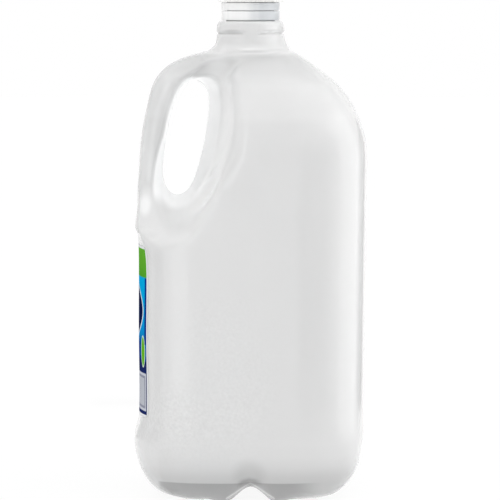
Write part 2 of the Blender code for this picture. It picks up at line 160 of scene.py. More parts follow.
# Columns of the cage, as directions from the -X axis through the front to the +X axis
BASE_ANGLES = (0.0, 28.0, 45.0, 50.5, 57.0, 65.0, 80.7, 90.0, 99.3, 116.0, 135.0, 152.0, 180.0)
BODY_ANGLES = (0.0, 28.0, 45.0, 53.5, 61.0, 70.0, 80.7, 90.0, 99.3, 116.0, 135.0, 152.0, 180.0)
SLOPE_ANGLES = (0.0, 14.0, 26.0, 38.0, 50.0, 63.0, 77.0, 91.0, 106.0, 124.0, 143.0, 162.0, 180.0)
COLUMNS = len(BODY_ANGLES)
TIP, TIP_SIDE, CORNER, HOLE_LEFT, HOLE_MID, HOLE_RIGHT, POCKET, EDGE, PLAIN = range(9)
FAR_CORNER = 10
FIT_ROUNDS = 24

# Fineness of the visible surfaces, and the solid's box that the jug's surface keeps to
FINE_LEVELS = 3
FLAT_FOOT_BELOW = 0.3 * MM
TURN_STEPS = 128
JUG_LOW, JUG_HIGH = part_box("jug")

# Spots are given as x and height of the middle, and half the size. They are full in the core and fade.
SPOT_CORE = 0.3

# Tight ends of the handle's pockets, rounded off
SOFT_SPOTS = (
    (mm(-20.0, 257.0), mm(15.0, 16.0)),
    (mm(-42.0, 170.0), mm(13.0, 14.0)),
)
SOFT_PASSES = 40
SOFT_FACTOR = 0.5

# Water: it reaches just into the wall, and its top is where the photograph shows it
WATER_INTO_WALL = 0.2 * MM
FILL_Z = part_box("water")[1].z
WATER_SHARP_ANGLE = 50.0

# Label: a film on the panel, with rounded corners and a white border
LABEL_LIFT = 0.1 * MM
LABEL_FILM = 0.12 * MM
LABEL_CORNER = 4.0 * MM
LABEL_CORNER_CUTS = (15.0, 30.0, 45.0, 60.0, 75.0)
LABEL_BORDER = 1.4 * MM
LABEL_LOW, LABEL_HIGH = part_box("label")
LABEL_GLOSS_SCALE = 120.0
LABEL_GLOSS = (0.35, 0.5)
WRINKLE_SCALE = 220.0
WRINKLE_STRENGTH = 0.15
WRINKLE_HEIGHT = 0.1 * MM

# Camera: it stands level with the cap and looks down a little, as the label's slanted edges show
IMAGE_SIZE = 500
SENSOR = 36.0
METRES_PER_PIXEL = 0.610 * MM
CAMERA_X = -0.35 * MM
CAMERA_DISTANCE = 1.955
CAMERA_HEIGHT = 0.3175
AIM_HEIGHT = 0.1465

WHITE = (1.0, 1.0, 1.0, 1.0)

# Plastic of the jug: colour in soft clouds, and gloss
PLASTIC_IOR = 1.5
PLASTIC_CLOUD_SCALE = 14.0
PLASTIC_CLOUDS = ((0.3, (0.985, 0.995, 0.998)), (0.7, (1.0, 1.0, 1.0)))
PLASTIC_GLOSS_SCALE = 40.0
PLASTIC_GLOSS = (0.12, 0.2)

# Lips round the handle's hole: painted light on the lips, painted shade along their crease, and a painted
# glow (emission) on the lips and in spots
PLAIN_TONE = 0.955
LIP_WIDTH = 3.0 * MM
LIP_WIDER_RIGHT = 5.2 * MM
LIP_WIDER_BELOW = 6.0 * MM
LIP_EDGE = 1.2 * MM
# Painted light on the lips
LIP_PAINTED_LIGHT = 0.045
# Painted glow on the lips: emission that stands in for light
PAINTED_LIP_GLOW = 0.27
LIP_GLOW_LESS_RIGHT = 0.6
LIP_GLOW_LESS_BELOW = 0.4
# Spots of painted glow: emission that stands in for light
PAINTED_GLOW_SPOTS = (
    (mm(-63.5, 176.0), mm(5.0, 8.0), 0.12),
    (mm(-18.0, 257.0), mm(12.0, 11.0), 0.10),
    (mm(1.5, 269.6), mm(11.0, 1.2), 0.07),
)
# Painted shade along the crease outside the lips
CREASE_WIDTH = 1.0 * MM
CREASE_PAINTED_SHADE = -0.09
LIP_DEEP_START = 15.0 * MM
LIP_DEEP_END = 30.0 * MM

# Painted light and shade of the jug: spots of painted highlight and shade that add to the plain tone, and
# the painted light and shade at each height
PAINTED_LIGHT_AND_SHADE_SPOTS = (
    # Painted highlights and shade on the handle
    (mm(-63.5, 176.0), mm(5.0, 8.0), 0.05),
    (mm(-58.0, 188.5), mm(3.5, 3.0), 0.05),
    (mm(-59.8, 160.0), mm(6.0, 2.5), -0.08),
    (mm(-57.0, 225.0), mm(9.0, 45.0), -0.16),
    # Painted shade at the notch in the base
    (mm(-0.8, 12.5), mm(9.0, 4.5), -0.4),
    (mm(-0.8, 18.0), mm(13.0, 13.0), -0.16),
    # Painted shade under the neck's lugs and in its groove
    (mm(-10.5, 279.8), mm(9.5, 1.7), -0.25),
    (mm(13.0, 280.2), mm(7.5, 1.3), -0.2),
    (mm(1.5, 268.0), mm(14.0, 1.1), -0.2),
)
TONE_TOP = 300.0 * MM
# Painted shade darker towards the bottom and again up to the neck, a painted highlight band on the
# shoulder, and a sharp step lighter at the neck
PAINTED_LIGHT_AND_SHADE_BY_HEIGHT_MM = (
    (0.0, 0.3),
    (1.5, 0.42),
    (5.0, 0.56),
    (12.0, 0.60),
    (17.0, 0.67),
    (23.0, 0.81),
    (29.0, 0.91),
    (37.0, 0.97),
    (50.0, 1.0),
    (226.0, 0.99),
    (230.5, 1.03),
    (240.0, 1.01),
    (248.0, 0.96),
    (256.0, 0.80),
    (265.9, 0.70),
    (266.3, 1.04),
    (269.5, 1.03),
    (273.0, 0.95),
    (300.0, 0.94),
)

# Painted shade: a dark band in the base
BASE_BAND_LEFT = -56.0 * MM
BASE_BAND_LEFT_FADE = 3.0 * MM
BASE_BAND_RIGHT = 44.0 * MM
BASE_BAND_RIGHT_FADE = 20.0 * MM
BASE_BAND_BOTTOM = 1.0 * MM
BASE_BAND_TOP = 13.2 * MM
BASE_BAND_EDGE = 0.7 * MM
BASE_BAND_PAINTED_SHADE = 0.39

# Orange peel, in patches: bump relief whose grain is also painted into the colour as shade. Each pair
# goes from where there is none to where it is full.
PEEL_HEIGHT = 0.9 * MM
PEEL_STRENGTH = 0.8
PEEL_SCALE = 560.0
PEEL_SHADE = 0.36
PEEL_MEAN = 0.5
PEEL_PATCH_SCALE = 9.0
PEEL_PATCHES = (0.3, 0.55)
PEEL_FROM_RIGHT = mm(30.0, -42.0)
PEEL_FROM_ABOVE = mm(180.0, 110.0)
PEEL_FROM_BELOW = mm(14.0, 70.0)

# Painted shade at the notch in the base: a strip with a dark rim and a paler painted line. Then the
# mould's parting line.
NOTCH_X = -0.2 * MM
NOTCH_TOP = 8.4 * MM
NOTCH_SLOPE = 0.66
NOTCH_HALF = 15.0 * MM
NOTCH_RIM = 1.1 * MM
NOTCH_RIM_PAINTED_SHADE = 0.22
NOTCH_STRIP = 4.2 * MM
NOTCH_STRIP_PAINTED_SHADE = 0.5
NOTCH_LINE = 3.6 * MM
NOTCH_LINE_HALF = 0.7 * MM
NOTCH_LINE_PAINTED_LIGHT = 0.75
SEAM_HALF = 0.5 * MM
SEAM_HEIGHT = 0.3 * MM

# Lugs and groove of the neck
LUG_START = 12.0
LUG_SLOPE = 6.0
LUG_BOTTOM = 280.0 * MM
LUG_EDGE = 0.8 * MM
LUG_HEIGHT = 0.3 * MM
LUG_UNDERCUT = 0.9 * MM
LUG_REACH = 2.0 * MM
NECK_GROOVE_Z = 268.2 * MM
NECK_GROOVE_REACH = 1.6 * MM
NECK_GROOVE_DEPTH = 0.8 * MM

# Closure: plastic with painted light and shade in upright streaks and painted shade towards +X, the
# bands, and the cap with its flange, grips and dished top
CLOSURE_INSIDE = 15.0 * MM
CLOSURE_SHARP_ANGLE = 40.0
CLOSURE_SIDE = 19.36 * MM
CLOSURE_SIDE_SHARE = 1.3
STREAK_SCALE = 150.0
STREAK_STRETCH = 0.04
STREAK_SHARE = 0.9
PALE_SHARE = 0.6
CLOSURE_GRAIN_SCALE = 900.0
CLOSURE_GRAIN_STRENGTH = 0.1
CLOSURE_GRAIN_HEIGHT = 0.1 * MM
# Lit and shaded colours of the bands, for their painted light and shade
BAND_PALE = (0.99, 0.99, 0.985)
BAND_SHADED = (0.62, 0.64, 0.66)
BAND_ROUGHNESS = 0.22
BAND_BEVEL = 0.35 * MM
BEVEL_BELLY = 0.3
CAP_DRUM = 16.1 * MM
CAP_FLANGE = 0.8 * MM
CAP_FLANGE_BEVEL = 0.25 * MM
CAP_EDGE = 0.8 * MM
CAP_RIM_OUTER_DROP = 0.15 * MM
CAP_RIM_DROP = 0.1 * MM
CAP_DISH = 0.5 * MM
CAP_MIDDLE_DROP = 0.4 * MM
CAP_MIDDLE_RADIUS = 0.4 * MM
CAP_LID = 2.2 * MM
CAP_GRIPS = 72
CAP_GRIP_DEPTH = 0.35 * MM
CAP_GRIP_BOTTOM = 299.6 * MM
CAP_GRIP_TOP = 309.2 * MM
CAP_GRIP_OUTSIDE = 0.1 * MM
CAP_GRIP_INSIDE = 0.4 * MM
# Lit and shaded colours of the cap, for its painted light and shade
CAP_PALE = (0.89, 0.885, 0.87)
CAP_SHADED = (0.77, 0.765, 0.75)
CAP_ROUGHNESS = 0.35

# Print of the label: fields from the bottom up, and shapes by distance from the middle and height
LABEL_FIELDS_MM = (
    (53.0, (0.008, 0.02, 0.12)),
    (94.0, (0.006, 0.04, 0.24)),
    (102.0, (0.004, 0.26, 0.62)),
    (118.0, (0.003, 0.36, 0.70)),
    (133.8, (0.003, 0.38, 0.72)),
    (134.2, (0.08, 0.34, 0.025)),
    (143.0, (0.11, 0.38, 0.03)),
    (152.0, (0.12, 0.40, 0.035)),
)
LABEL_NAVY = (0.012, 0.022, 0.11)
LABEL_NAVY_TOP = 84.0 * MM
LABEL_SKY_TOP = 133.8 * MM
LABEL_CLOUD = (0.02, 0.46, 0.80)
LABEL_CLOUD_SCALE = 55.0
LABEL_CLOUD_RANGE = (0.5, 0.68)
LABEL_CLOUD_SHARE = 0.55
LABEL_WHITE = (0.82, 0.83, 0.85)
LABEL_OVALS = (
    (mm(0.0, 113.5), mm(45.5, 20.0), (0.74, 0.82, 0.86)),
    (mm(0.0, 113.5), mm(44.1, 18.6), (0.005, 0.010, 0.06)),
    (mm(0.0, 112.0), mm(28.0, 10.0), (0.01, 0.25, 0.60)),
    (mm(44.5, 89.5), mm(4.0, 9.6), (0.60, 0.74, 0.62)),
    (mm(44.5, 89.5), mm(3.1, 8.6), (0.12, 0.42, 0.02)),
)
LABEL_BLOCKS = (
    (mm(27.5, 54.0), mm(49.5, 76.6), (0.55, 0.57, 0.64)),
    (mm(29.0, 55.5), mm(48.0, 75.1), (0.28, 0.29, 0.36)),
    (mm(30.5, 57.0), mm(46.5, 73.6), (0.48, 0.50, 0.55)),
    (mm(47.6, 94.0), mm(52.0, 133.8), (0.004, 0.04, 0.24)),
)

# Studio: a white room and a pale floor
ROOM_LIGHT = 0.94
FLOOR_HALF_SIZE = 6.0
FLOOR_DROP = 0.2 * MM
FLOOR_GREY = 0.1
FLOOR_GLOW = 0.91
MATT_ROUGHNESS = 0.9

# Softboxes: azimuth from the front in degrees, distance, height, size, and radiance in room whites.
# Those above the ceiling height face down, and the others face the jug.
SOFTBOXES = (
    ("right_softbox", 77.0, 0.3, 0.23, (0.25, 0.5), 0.75),
    ("left_softbox", -31.0, 0.3, 0.23, (0.1, 0.5), 0.5),
    ("top_softbox", 0.0, 0.2, 1.25, (3.0, 1.6), 0.28),
)
CEILING_HEIGHT = 1.0

# Cards between the softboxes: the azimuths where each starts and ends, and its grey
CARD_DISTANCE = 0.4
CARD_TOP = 0.3
CARDS = (
    ("right_front_card", 14.0, 42.0, 0.6),
    ("right_rear_card", 112.0, 145.0, 0.45),
    ("right_edge_card", 164.0, 170.0, 0.85),
    ("left_card", -105.0, -60.0, 0.6),
    ("left_rear_card", -145.0, -112.0, 0.7),
    ("left_edge_card", -170.0, -163.0, 0.3),
)


def section_point(half_width, squareness, angle, z):
    """A point of the body's rounded-square section, in a direction measured from the -X axis."""
    turn = math.radians(angle)
    along, across = -math.cos(turn), -math.sin(turn)
    half_depth = half_width * DEPTH_PER_WIDTH if squareness > 2.0 else half_width
    size = (abs(along) / half_width) ** squareness + (abs(across) / half_depth) ** squareness
    reach = size ** (-1.0 / squareness)
    return Vector((along * reach, across * reach, z))


def face_point(x, z, squareness, inset=0.0):
    """The point of the body's front face at a given x and height, set in by a distance."""
    half_width = shoulder_half_width(z)
    share = (1.0 - min(1.0, abs(x) / half_width) ** squareness) ** (1.0 / squareness)
    return Vector((x, inset - half_width * DEPTH_PER_WIDTH * share, z))


def body_ring(z, squareness, angles):
    """The front half of the body's section at a height, one point in each direction."""
    half_width = shoulder_half_width(z)
    return [section_point(half_width, squareness, angle, z) for angle in angles]


def shoulder_half_width(z):
    """The body's half width on the +X side above the base corner."""
    if z <= SIDE_TOP:
        share = (z - BASE_CORNER_HEIGHT) / (SIDE_TOP - BASE_CORNER_HEIGHT)
        return WAIST_HALF_WIDTH + (HALF_WIDTH - WAIST_HALF_WIDTH) * share
    sweep = math.radians(SHOULDER_SWEEP)
    arc_end_x = HALF_WIDTH - SHOULDER_RADIUS * (1.0 - math.cos(sweep))
    arc_end_z = SIDE_TOP + SHOULDER_RADIUS * math.sin(sweep)
    if z <= arc_end_z:
        turn = math.asin((z - SIDE_TOP) / SHOULDER_RADIUS)
        return HALF_WIDTH - SHOULDER_RADIUS * (1.0 - math.cos(turn))
    share = (z - arc_end_z) / (NECK_ROOT_Z - arc_end_z)
    return arc_end_x + (NECK_ROOT_RADIUS - arc_end_x) * share


def hole_point(angle, offset=0.0, depth=0.0):
    """A point of the hole's outline, or outside it: angle 0 is on the body's side, 90 on top."""
    turn = math.radians(angle)
    power = 2.0 / HOLE_ROUNDNESS
    right = math.copysign(abs(math.cos(turn)) ** power, math.cos(turn)) * HOLE_HALF_WIDTH
    up = math.copysign(abs(math.sin(turn)) ** power, math.sin(turn)) * HOLE_HALF_LENGTH
    slope = HOLE_ROUNDNESS - 1.0
    outward = Vector((
        math.copysign(abs(right / HOLE_HALF_WIDTH) ** slope, right) / HOLE_HALF_WIDTH,
        math.copysign(abs(up / HOLE_HALF_LENGTH) ** slope, up) / HOLE_HALF_LENGTH,
    )).normalized()
    right += outward.x * offset
    up += outward.y * offset
    lean = math.radians(HOLE_LEAN)
    x = HOLE_X + right * math.cos(lean) + up * math.sin(lean)
    z = HOLE_Z - right * math.sin(lean) + up * math.cos(lean)
    return Vector((x, -depth, z))


def tube_points(outer, inner):
    """The handle's front half: its outer line, its outer quarter, its front and its inner quarter."""
    points = []
    for turn in (0.0, 45.0, 90.0, 135.0):
        share = (1.0 - math.cos(math.radians(turn))) / 2.0
        depth = HANDLE_HALF_DEPTH * math.sin(math.radians(turn))
        point = outer.lerp(inner, share)
        points.append(Vector((point.x, -depth, point.z)))
    return points


def lower_rings():
    """Rings of the base corner and of the sides up to the top of the label panel."""
    rings = []
    for index, angle in enumerate(BASE_RING_ANGLES):
        turn = math.radians(angle)
        half_width = FOOT_HALF_WIDTH + (WAIST_HALF_WIDTH - FOOT_HALF_WIDTH) * math.cos(turn)
        left_width = FOOT_LEFT_WIDTH + (-BULGE_X - FOOT_LEFT_WIDTH) * math.cos(turn)
        z = BASE_CORNER_HEIGHT * (1.0 - math.sin(turn))
        ring = [section_point(half_width, SQUARENESS, angle, z) for angle in BASE_ANGLES]
        for point in ring[TIP:EDGE]:
            point.x *= left_width / half_width
        ring[EDGE].z += NOTCH_HEIGHT * NOTCH_RISE[index]
        if index:
            ring[EDGE].y += NOTCH_DENT * NOTCH_RISE[index]
        for side in (POCKET, PLAIN):
            ring[side].x = math.copysign(NOTCH_HALF_WIDTH, ring[side].x)
        rings.append(ring)
    panel = [(z, PANEL_X) for z in (PANEL_BOTTOM, PANEL_MIDDLE, PANEL_TOP)]
    for z, left in [(BULGE_Z, BULGE_X), *panel]:
        ring = body_ring(z, SQUARENESS, BODY_ANGLES)
        for column in (CORNER, TIP_SIDE, TIP):
            ring[column].x *= left / ring[TIP].x
        rings.append(ring)
    for column, lift in enumerate(PANEL_TOP_LIFTS_MM):
        rings[-1][column].z += lift * MM
    return rings


def upper_rings():
    """Rings from the foot of the pocket to the top of the handle's hole."""
    rings = []
    for height, squareness, (edge_x, edge_z) in zip(UPPER_RINGS_MM, UPPER_SQUARENESS, POCKET_EDGE):
        z = height * MM
        ring = body_ring(z, squareness, BODY_ANGLES)
        ring[EDGE] = face_point(edge_x, edge_z, squareness, POCKET_EDGE_INSET)
        for column, pull in zip((PLAIN, PLAIN + 1), PULL_BESIDE_POCKET):
            ring[column] = face_point(ring[column].x, z + pull * (edge_z - z), squareness)
        rings.append(ring)
    foot, ramp, *beside_hole = rings
    foot[TIP] = Vector((PANEL_SHELF_X, 0.0, PANEL_SHELF_Z))
    foot[TIP_SIDE].z = PANEL_SHELF_Z
    for column, (x, z) in enumerate(POCKET_FOOT, CORNER):
        foot[column] = face_point(x, z, SQUARENESS, POCKET_EDGE_INSET)
    for index, ring in enumerate(beside_hole):
        height = (index - HOLE_RINGS // 2) * HOLE_STEP
        outer_x, outer_z = HANDLE_OUTLINE[index]
        tube = tube_points(Vector((outer_x, 0.0, outer_z)), hole_point(180.0 - height))
        ring[TIP : HOLE_LEFT + 1] = tube
        ring[HOLE_MID] = hole_point(math.copysign(90.0, height or 1.0), LIP_OFFSET, LIP_HALF_DEPTH)
        ring[HOLE_RIGHT] = hole_point(height, LIP_OFFSET, LIP_HALF_DEPTH)
        ring[POCKET] = ring[HOLE_RIGHT].lerp(ring[EDGE], POCKET_WALL_MIX)
    for column in range(EDGE):
        ramp[column] = (foot[column] + beside_hole[0][column]) / 2.0
    return rings


def slope_rings(top_of_hole):
    """The two rings of the slope between the top of the hole and the neck."""
    lower_squareness, upper_squareness = SLOPE_SQUARENESS
    upper = body_ring(UPPER_SLOPE_Z, upper_squareness, SLOPE_ANGLES)
    *_, (outer_x, outer_z), (root_x, root_z) = HANDLE_OUTLINE
    upper[TIP] = Vector((root_x, 0.0, root_z))
    upper[TIP_SIDE] = Vector(HANDLE_ROOT_SIDE)
    lower = body_ring(LOWER_SLOPE_Z, lower_squareness, BODY_ANGLES)
    for column in range(CORNER, EDGE):
        lower[column] = (top_of_hole[column] + upper[column]) / 2.0
    lower[EDGE] = face_point(*POCKET_TOP, lower_squareness)
    tube = tube_points(Vector((outer_x, 0.0, outer_z)), hole_point(HANDLE_ROOT_ANGLE))
    lower[TIP : CORNER + 1] = tube[: CORNER + 1]
    return [lower, upper]


def neck_rings():
    """Round rings of the neck, and of the finish that the cap grips."""
    profile = (
        (NECK_ROOT_RADIUS, NECK_ROOT_Z),
        (NECK_RADIUS, NECK_Z),
        (NECK_SHOULDER_RADIUS, NECK_SHOULDER_Z),
        (NECK_TOP_RADIUS, NECK_TOP_Z),
        (FINISH_RADIUS, FINISH_ROOT_Z),
        (FINISH_RADIUS, MOUTH_Z),
    )
    even = [180.0 * column / (COLUMNS - 1) for column in range(COLUMNS)]
    return [[section_point(radius, 2.0, angle, z) for angle in even] for radius, z in profile]


def mirrored(point):
    return Vector((point.x, -point.y, point.z))


def closed_ring(bm, front):
    """Cage vertices of a whole ring: the front half, then its mirror image from +X back to -X."""
    back = [mirrored(point) for point in reversed(front[1:-1])]
    return [bm.verts.new(point) for point in front + back]


def notch_height(x):
    return NOTCH_HEIGHT * max(0.0, 1.0 - abs(x) / NOTCH_HALF_WIDTH)


def close_base(bm, ring):
    """Fills the lowest ring with a grid of quads that carries the notch."""
    count = len(ring)
    wide = FAR_CORNER - CORNER
    deep = 2 * CORNER
    front = [ring[CORNER + i] for i in range(wide + 1)]
    back = [ring[count - CORNER - i] for i in range(wide + 1)]
    left = [ring[(CORNER - i) % count] for i in range(deep + 1)]
    right = [ring[FAR_CORNER + i] for i in range(deep + 1)]
    rows = [front]
    for j in range(1, deep):
        v = j / deep
        row = [left[j]]
        for i in range(1, wide):
            u = i / wide
            along = left[j].co.lerp(right[j].co, u)
            across = front[i].co.lerp(back[i].co, v)
            point = Vector((across.x, across.y * 0.5 + along.y * 0.5, 0.0))
            point.z = notch_height(point.x)
            row.append(bm.verts.new(point))
        rows.append(row + [right[j]])
    rows.append(back)
    for low, high in zip(rows, rows[1:]):
        for i in range(wide):
            bm.faces.new((low[i + 1], low[i], high[i], high[i + 1]))


def lip_loop(rings, left, middle, right):
    """The vertices round one side of the hole, from its top down the handle and up the body."""
    lip = [rings[-1][middle]]
    lip += [ring[left] for ring in reversed(rings)]
    lip += [rings[0][middle]]
    return lip + [ring[right] for ring in rings]


def line_hole(bm, rings):
    """Joins the hole's front and back lips through a middle loop in the parting plane."""
    count = len(rings[0])
    front = lip_loop(rings, HOLE_LEFT, HOLE_MID, HOLE_RIGHT)
    back = lip_loop(rings, count - HOLE_LEFT, count - HOLE_MID, count - HOLE_RIGHT)
    middle = [bm.verts.new(hole_point(90.0 + HOLE_STEP * i)) for i in range(HOLE_POINTS)]
    for i in range(HOLE_POINTS):
        after = (i + 1) % HOLE_POINTS
        bm.faces.new((front[i], front[after], middle[after], middle[i]))
        bm.faces.new((middle[i], middle[after], back[after], back[i]))


def limit_point(vert):
    """Where a quad cage's vertex ends up on the smooth surface that subdivision makes of it."""
    if vert.is_boundary:
        ends = [edge.other_vert(vert).co for edge in vert.link_edges if edge.is_boundary]
        return (4.0 * vert.co + ends[0] + ends[1]) / 6.0
    near = [edge.other_vert(vert) for edge in vert.link_edges]
    count = len(near)
    total = count * count * vert.co
    for other in near:
        total = total + 4.0 * other.co
    for face in vert.link_faces:
        for other in face.verts:
            if other is not vert and other not in near:
                total = total + other.co
    return total / (count * (count + 5))


def fit_cage(bm):
    """Moves the cage out until the smooth surface passes through the points it was drawn with."""
    targets = {vert: vert.co.copy() for vert in bm.verts}
    for _ in range(FIT_ROUNDS):
        moves = {vert: target - limit_point(vert) for vert, target in targets.items()}
        for vert, move in moves.items():
            vert.co += move


def jug_cage():
    """The coarse cage of the jug's outer surface, open at the mouth."""
    bm = bmesh.new()
    fronts = lower_rings() + upper_rings()
    hole_top = len(fronts) - 1
    hole_bottom = len(fronts) - HOLE_RINGS
    fronts += slope_rings(fronts[hole_top]) + neck_rings()
    rings = [closed_ring(bm, front) for front in fronts]
    line_hole(bm, rings[hole_bottom : hole_top + 1])
    count = len(rings[0])
    open_columns = {HOLE_LEFT, HOLE_MID, count - HOLE_RIGHT, count - HOLE_MID}
    for index, (low, high) in enumerate(zip(rings, rings[1:])):
        for column in range(count):
            if hole_bottom <= index < hole_top and column in open_columns:
                continue
            after = (column + 1) % count
            bm.faces.new((low[column], low[after], high[after], high[column]))
    close_base(bm, rings[0])
    unused = [vert for vert in bm.verts if not vert.link_faces]
    bmesh.ops.delete(bm, geom=unused, context="VERTS")
    bmesh.ops.recalc_face_normals(bm, faces=bm.faces)
    fit_cage(bm)
    mesh = bpy.data.meshes.new("jug_cage")
    bm.to_mesh(mesh)
    bm.free()
    return mesh


def link(obj):
    """Puts an object into the scene."""
    bpy.context.scene.collection.objects.link(obj)


def fine_surface():
    """The cage's smooth surface as a fine mesh, in the solid's box and with its feet flat."""
    cage = bpy.data.objects.new("jug_cage", jug_cage())
    link(cage)
    rounding = cage.modifiers.new("smooth", "SUBSURF")
    rounding.levels = rounding.render_levels = FINE_LEVELS
    bpy.context.view_layer.update()
    graph = bpy.context.evaluated_depsgraph_get()
    mesh = bpy.data.meshes.new_from_object(cage.evaluated_get(graph))
    bpy.data.objects.remove(cage)
    for vert in mesh.vertices:
        vert.co.x = min(max(vert.co.x, JUG_LOW.x), JUG_HIGH.x)
        vert.co.y = min(max(vert.co.y, JUG_LOW.y), JUG_HIGH.y)
        if vert.co.z < FLAT_FOOT_BELOW:
            vert.co.z = 0.0
    return mesh


def soften(mesh):
    """Rounds off the tight ends of the pockets, most at the middle of each spot."""
    bm = bmesh.new()
    bm.from_mesh(mesh)
    for centre, half_size in SOFT_SPOTS:
        shares = [(vert, spot(vert.co, centre, half_size)) for vert in bm.verts]
        for step in range(SOFT_PASSES):
            chosen = [vert for vert, share in shares if share > step / SOFT_PASSES]
            bmesh.ops.smooth_vert(
                bm, verts=chosen, factor=SOFT_FACTOR, use_axis_x=True, use_axis_y=True, use_axis_z=True
            )
    bm.to_mesh(mesh)
    bm.free()


def shifted_copy(surface, name, distance):
    """A copy of the surface, moved along its normals."""
    mesh = surface.copy()
    mesh.name = name
    normals = [vert.normal.copy() for vert in mesh.vertices]
    for vert, normal in zip(mesh.vertices, normals):
        vert.co += normal * distance
    return mesh


def add_piece(name, mesh, material, node):
    """A shown piece that stands for a CAD node."""
    mesh.shade_smooth()
    mesh.materials.clear()
    mesh.materials.append(material)
    obj = bpy.data.objects.new(name, mesh)
    link(obj)
    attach(obj, "root")
    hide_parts(node)
    return obj


def thicken(obj, thickness, offset):
    """Gives a surface a wall: outside it at an offset of 1, and inside it at -1."""
    shell = obj.modifiers.new("wall", "SOLIDIFY")
    shell.thickness = thickness
    shell.offset = offset
    shell.use_even_offset = True


def cut(bm, place, outward):
    """Cuts off what lies outward of a plane."""
    geometry = bm.verts[:] + bm.edges[:] + bm.faces[:]
    bmesh.ops.bisect_plane(bm, geom=geometry, plane_co=place, plane_no=outward, clear_outer=True)


def make_water(surface):
    """The water: the jug's surface moved into the wall, and closed at the fill level."""
    mesh = shifted_copy(surface, "water_body", WATER_INTO_WALL - WALL)
    bm = bmesh.new()
    bm.from_mesh(mesh)
    cut(bm, (0.0, 0.0, FILL_Z), (0.0, 0.0, 1.0))
    rim = [edge for edge in bm.edges if edge.is_boundary]
    bmesh.ops.contextual_create(bm, geom=rim)
    bm.to_mesh(mesh)
    bm.free()
    water = add_piece("water_body", mesh, water_material(), "water")
    mesh.set_sharp_from_angle(angle=math.radians(WATER_SHARP_ANGLE))


def make_label(surface):
    """A film cut from the panel's own surface, with rounded corners."""
    mesh = shifted_copy(surface, "label_film", LABEL_LIFT)
    low, high = LABEL_LOW.z, LABEL_HIGH.z
    side = LABEL_HIGH.y
    bm = bmesh.new()
    bm.from_mesh(mesh)
    cut(bm, (BULGE_X / 2.0, 0.0, 0.0), (1.0, 0.0, 0.0))
    cut(bm, (0.0, 0.0, low), (0.0, 0.0, -1.0))
    cut(bm, (0.0, 0.0, high), (0.0, 0.0, 1.0))
    for sign in (-1.0, 1.0):
        cut(bm, (0.0, sign * side, 0.0), (0.0, sign, 0.0))
        for centre_z, up in ((low + LABEL_CORNER, -1.0), (high - LABEL_CORNER, 1.0)):
            for angle in LABEL_CORNER_CUTS:
                turn = math.radians(angle)
                outward = Vector((0.0, sign * math.cos(turn), up * math.sin(turn)))
                centre = Vector((0.0, sign * (side - LABEL_CORNER), centre_z))
                cut(bm, centre + outward * LABEL_CORNER, outward)
    bm.to_mesh(mesh)
    bm.free()
    label = add_piece("label_film", mesh, label_material(), "label")
    thicken(label, LABEL_FILM, 1.0)


def smooth(value, start, end):
    """0 at the start, 1 at the end, and soft between."""
    share = min(1.0, max(0.0, (value - start) / (end - start)))
    return share * share * (3.0 - 2.0 * share)


def spot(place, centre, half_size):
    """1 in the middle of an oval that is seen from the front, and 0 outside it."""
    across = (place.x - centre[0]) / half_size[0]
    up = (place.z - centre[1]) / half_size[1]
    return 1.0 - smooth(math.hypot(across, up), SPOT_CORE, 1.0)


def beside_hole(place):
    """How far a point lies outside the hole's outline, and its direction from the hole's middle."""
    lean = math.radians(HOLE_LEAN)
    x, z = place.x - HOLE_X, place.z - HOLE_Z
    right = x * math.cos(lean) - z * math.sin(lean)
    up = x * math.sin(lean) + z * math.cos(lean)
    across, along = abs(right) / HOLE_HALF_WIDTH, abs(up) / HOLE_HALF_LENGTH
    size = (across ** HOLE_ROUNDNESS + along ** HOLE_ROUNDNESS) ** (1.0 / HOLE_ROUNDNESS)
    power = HOLE_ROUNDNESS - 1.0
    slope = math.hypot(across ** power / HOLE_HALF_WIDTH, along ** power / HOLE_HALF_LENGTH)
    slope = slope * size ** -power
    middle = Vector((right / HOLE_HALF_WIDTH, up / HOLE_HALF_LENGTH))
    return (size - 1.0) / slope, middle.normalized()


def lip_and_crease(place):
    """How far a point belongs to the lip round the handle's hole, and to the crease outside it."""
    distance, direction = beside_hole(place)
    lip = LIP_WIDTH + LIP_WIDER_RIGHT * max(0.0, direction.x) + LIP_WIDER_BELOW * max(0.0, -direction.y)
    near = 1.0 - smooth(abs(place.y), LIP_DEEP_START, LIP_DEEP_END)
    inside = near * (1.0 - smooth(distance, lip - LIP_EDGE, lip))
    crease = near * (1.0 - smooth(abs(distance - lip - CREASE_WIDTH), 0.0, CREASE_WIDTH))
    return inside, crease


def painted_light_and_shade(place):
    """Painted light and shade of the plastic: lighter on the lips round the hole, painted shade along
    their crease, and spots of painted highlight and shade.
    """
    inside, crease = lip_and_crease(place)
    tone = PLAIN_TONE + LIP_PAINTED_LIGHT * inside + CREASE_PAINTED_SHADE * crease
    for centre, half_size, change in PAINTED_LIGHT_AND_SHADE_SPOTS:
        tone += change * spot(place, centre, half_size)
    return min(1.0, tone)


